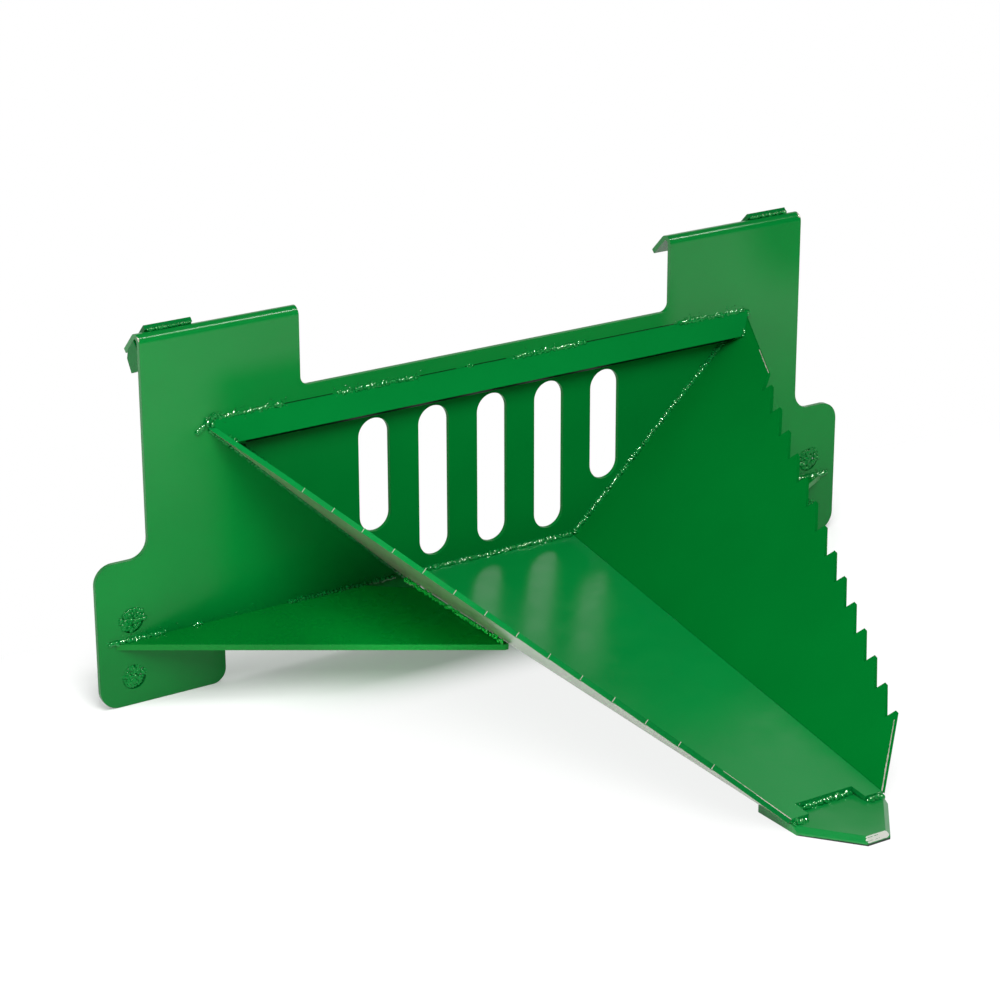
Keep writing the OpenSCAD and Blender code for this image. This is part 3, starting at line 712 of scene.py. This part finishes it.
bar_up = Vector((0.0, -1.0, 1.0)).normalized()
bar_wide = 0.037
bar_drop = bar_wide * math.sqrt(0.5)
bar_leg = 0.0052
edge_leg = 0.0058
bar_runs = []
for first, last in ((-0.405, -0.308), (-0.228, -0.114), (-0.037, -0.029), (0.036, 0.1435),
                    (0.2985, 0.404)):
    bar_runs.append(corner_run(bar_point(first), bar_point(last), to_front, bar_up, edge_leg,
                               sit=0.02))


def on_bar_end(down):
    """A point just over the line where the bar's face meets the right side, a share down it."""
    y = -bar_drop * down
    z = bar_top - bar_drop * down
    x = rear_corner.x - (y * out_of_side.y + (z - rear_corner.z) * out_of_side.z) / out_of_side.x
    return Vector((x, y, z)) + (bar_up - out_of_side).normalized() * 0.0006


# The ends of the bar are welded to the sides along the slope of the bar's face.
for first, last in ((0.10, 0.22), (0.80, 1.0)):
    end_run = [(on_bar_end(first), bar_up), (on_bar_end(last), bar_up)]
    bar_runs += [end_run] + mirrored_runs([end_run])
# The weld is heaped up where the bar, the left side and the plate meet.
heap_out = Vector((-0.3, -0.8, 0.5))
bar_runs.append([(Vector((-0.427, -0.001, 0.3350)), heap_out),
                 (Vector((-0.403, -0.001, 0.3530)), heap_out)])
lay_bead("bar_bead", bar_runs, bar_leg, "bar_welds", pitch=0.0031, wander=0.0011, seed=12,
         wide=0.8, high=0.5)
bar_bands = []
for first, last, count in ((-0.415, -0.300, 34), (-0.235, -0.105, 34), (0.030, 0.145, 16),
                           (0.290, 0.404, 34)):
    start = bar_point(first)
    end = bar_point(last)
    bar_bands.append((start, end, Vector((0.0, 0.0, 0.011)), count))
    bar_bands.append((start, end, Vector((0.0, -0.006, -0.006)), count // 2))
bar_bands.append((Vector((-0.419, -0.001, 0.3420)), Vector((-0.402, -0.001, 0.3535)),
                  Vector((-0.006, -0.004, 0.003)), 34))
spatter("bar_spatter", bar_bands, 51)

# Beads on the gussets, along the back plate and in the narrow groove against the bucket.
# The gussets' upper faces slope down to the front as the bucket's floor does.
gusset_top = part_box("gusset_right")[1][2]
gusset_leg = 0.0052
plate_runs = []
for first, last in ((0.150, 0.186), (0.196, 0.306), (0.432, 0.441), (0.482, 0.556),
                    (0.520, 0.558)):
    plate_runs.append(corner_run(Vector((first, 0.0, gusset_top)),
                                 Vector((last, 0.0, gusset_top)), to_front, floor_up,
                                 gusset_leg))
lay_pair("gusset_bead", plate_runs, gusset_leg, "gusset_weld", (("right", 14), ("left", 15)),
         wander=0.0012, wide=0.70, long=0.4)
# The groove beads are painted brighter than the other beads: painted light in the shade under the
# bucket's sides.
groove_painted_light = gloss_paint("groove_gloss_painted_light", (0.0020, 0.300, 0.024), rough=0.16, peel=0.8,
                           rub=0.0003, fine=520.0)
groove_leg = 0.0045
groove_side = Vector((0.0195, 0.0, 0.0045))
groove_out = Vector((0.93, 0.0, 0.36)).normalized()
groove_run = [(rear_corner + fold * 0.020 + groove_side, groove_out),
              (rear_corner + fold * 0.224 + groove_side, groove_out)]
groove_beads = lay_pair("groove_bead", [groove_run], groove_leg, None,
                        (("right", 16), ("left", 17)), pitch=0.0024, wander=0.0011, wide=0.62,
                        long=0.36, finish=groove_painted_light)
for groove_bead in groove_beads:
    groove_only.objects.link(groove_bead)
for side, mark, seed in (("right", 1.0, 53), ("left", -1.0, 54)):
    bands = []
    for first, last, high, count in ((0.505, 0.562, 0.006, 26), (0.33, 0.50, 0.007, 14),
                                     (0.15, 0.306, 0.008, 24)):
        bands.append((Vector((mark * first, 0.0, gusset_top + 0.003)),
                      Vector((mark * last, 0.0, gusset_top + 0.003)),
                      Vector((0.0, 0.0, high)), count))
    spatter("gusset_spatter_" + side, bands, seed)

# Beads on the cutting point: one in the notch of the floor and one at each prong.
# All three are short and heavy, because the point takes the load.
point_leg = 0.0070
straight_up = Vector((0.0, 0.0, 1.0))
notch_half = 0.0385
notch_y = -0.6955
notch_run = corner_run(Vector((-notch_half, notch_y, point_top)),
                       Vector((notch_half, notch_y, point_top)), to_front, straight_up,
                       point_leg, sit=0.35)
lay_bead("notch_bead", [notch_run], point_leg, "notch_weld", pitch=0.0026, wander=0.0012,
         seed=21, wide=0.7, high=0.42, long=0.4)
prong_y = -0.7215
prong_run = corner_run(Vector((0.0440, prong_y, point_top)), Vector((0.0630, prong_y, point_top)),
                       to_front, straight_up, point_leg)
lay_pair("prong_bead", [prong_run], point_leg, "prong_weld", (("right", 22), ("left", 23)),
         pitch=0.0026, wander=0.0018, wide=0.7, high=0.42, long=0.4)

# Beads that hold the hook pads over the bend, and the pin lugs behind the ears.
# The paint on the pads' beads is duller than on the others, as on the plug welds below.
plug_paint = gloss_paint("plug_gloss", (0.0008, 0.190, 0.030), rough=0.27, peel=0.55, fine=420.0,
                         sheen=0.22)
pad_leg = 0.0036
pad_low, pad_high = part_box("pad_weld_right")
pad_middle_y = 0.5 * (pad_low[1] + pad_high[1])
pad_middle_z = 0.5 * (pad_low[2] + pad_high[2])
pad_out = Vector((0.0, -0.80, 0.60)).normalized()
pad_run = [(Vector((pad_low[0] + 0.003, pad_middle_y, pad_middle_z)), pad_out),
           (Vector((pad_high[0] - 0.003, pad_middle_y, pad_middle_z)), pad_out)]
lay_pair("pad_bead", [pad_run], pad_leg, "pad_weld", (("right", 31), ("left", 32)),
         pitch=0.0026, wander=0.0003, wide=0.75, high=0.34, finish=plug_paint)
lug_x = 0.525
lug_z = 0.0737
lug_half = 0.00635
lug_leg = 0.0055
half_run = Vector((0.0, 0.0, 0.048))
to_rear = Vector((0.0, 1.0, 0.0))
lug_runs = []
for way in (-1.0, 1.0):
    foot = Vector((lug_x + way * lug_half, sheet, lug_z))
    lug_runs.append(corner_run(foot - half_run, foot + half_run, to_rear,
                               Vector((way, 0.0, 0.0)), lug_leg))
lay_pair("lug_bead", lug_runs, lug_leg, "lug_weld", (("right", 34), ("left", 35)))

# Plug welds: holes in the ears filled with weld that runs inwards in a flat spiral.
# They fasten the pin lugs behind, and the lower one of each ear is sunk a little deeper.
plug_leg = 0.0052
plug_step = 0.0373
plug_reach = 0.0142
coil_points = 70
coil_turns = 3.4
for side, mark, seed in (("right", 1.0, 41), ("left", -1.0, 42)):
    spirals = []
    for step, sunk in ((-plug_step, 0.0020), (plug_step, 0.0003)):
        coil = []
        for number in range(coil_points):
            share = number / (coil_points - 1)
            swing = share * coil_turns * 2.0 * math.pi
            wobble = 1.05 + 0.07 * math.sin(2.0 * swing + 0.7) + 0.05 * math.sin(3.0 * swing + step)
            reach = plug_reach * (1.0 - share) * wobble + 0.0008
            coil.append((Vector((mark * lug_x + reach * math.cos(swing), sunk,
                                 lug_z + step + reach * math.sin(swing))), to_front))
        spirals.append(coil)
    lay_bead("plug_bead_" + side, spirals, plug_leg, "plug_welds_" + side, pitch=0.0036,
             wander=0.0010, seed=seed, wide=0.75, high=0.45, finish=plug_paint)
